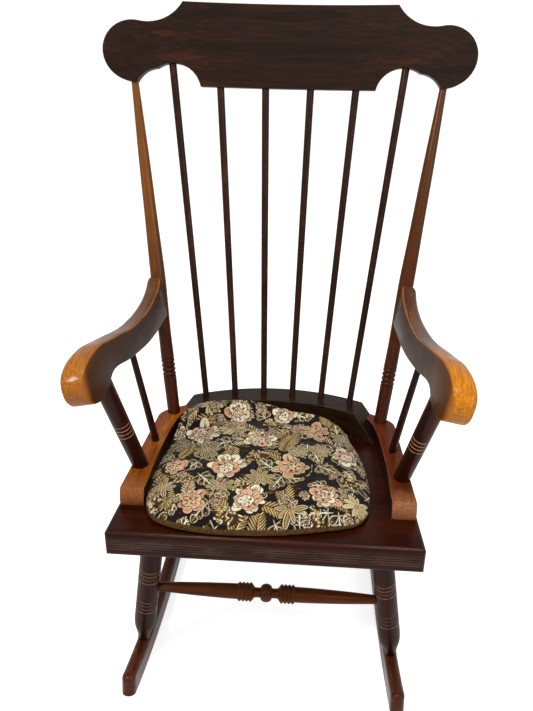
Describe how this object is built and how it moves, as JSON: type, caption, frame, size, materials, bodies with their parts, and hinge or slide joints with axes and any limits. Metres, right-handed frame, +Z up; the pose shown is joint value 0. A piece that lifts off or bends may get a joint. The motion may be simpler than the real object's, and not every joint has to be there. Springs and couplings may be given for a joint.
{
  "type": "rocking chair",
  "caption": "High-backed wooden rocking chair with spindles, a shaped crest rail, scrolled arms, turned legs on curved runners and a loose tapestry seat cushion.",
  "frame": {"origin": "on the floor, in the middle of the rectangle that the two runners span", "axes": "+Z up, -Y towards the front of the chair, +X to the right as seen from the front"},
  "size_m": [0.6299, 0.675, 1.0913],
  "materials": {
    "seat_wood": "glossy dark red-brown stained hardwood",
    "rail_wood": "glossy amber-brown stained hardwood",
    "riser_wood": "glossy dark brown stained hardwood",
    "crest_wood": "satin very dark brown stained hardwood",
    "post_wood": "glossy red-brown stained hardwood",
    "spindle_wood": "glossy near-black brown stained hardwood",
    "arm_wood": "worn glossy golden-brown stained hardwood",
    "support_wood": "glossy dark red-brown stained hardwood",
    "leg_wood": "satin dark brown stained hardwood",
    "runner_wood": "glossy brown stained hardwood",
    "stretcher_wood": "satin amber-brown stained hardwood",
    "screw_steel": "zinc plated steel",
    "tapestry": "woven tapestry in dark, cream, olive and rose"
  },
  "bodies": {
    "chair": {"seat_plank": "seat_wood", "seat_rail_left": "rail_wood", "seat_rail_right": "rail_wood", "back_riser": "riser_wood", "crest_rail": "crest_wood", "back_post_left": "post_wood", "back_post_right": "post_wood", "back_spindle_1": "spindle_wood", "back_spindle_2": "spindle_wood", "back_spindle_3": "spindle_wood", "back_spindle_4": "spindle_wood", "back_spindle_5": "spindle_wood", "back_spindle_6": "spindle_wood", "arm_left": "arm_wood", "arm_right": "arm_wood", "arm_post_left": "support_wood", "arm_post_right": "support_wood", "arm_spindle_left": "spindle_wood", "arm_spindle_right": "spindle_wood", "front_leg_left": "leg_wood", "front_leg_right": "leg_wood", "rear_leg_left": "leg_wood", "rear_leg_right": "leg_wood", "runner_left": "runner_wood", "runner_right": "runner_wood", "front_stretcher": "stretcher_wood", "rear_stretcher": "stretcher_wood", "side_stretcher_left": "stretcher_wood", "side_stretcher_right": "stretcher_wood", "seat_screws": "screw_steel", "arm_screws": "screw_steel", "arm_plugs": "post_wood"},
    "cushion": {"seat_cushion": "tapestry"}
  },
  "joints": [
    {"name": "cushion_lift", "type": "slide", "parent": "chair", "child": "cushion", "axis": [0, 0.0593, 0.9982], "range_m": [0, 0.15]}
  ]
}
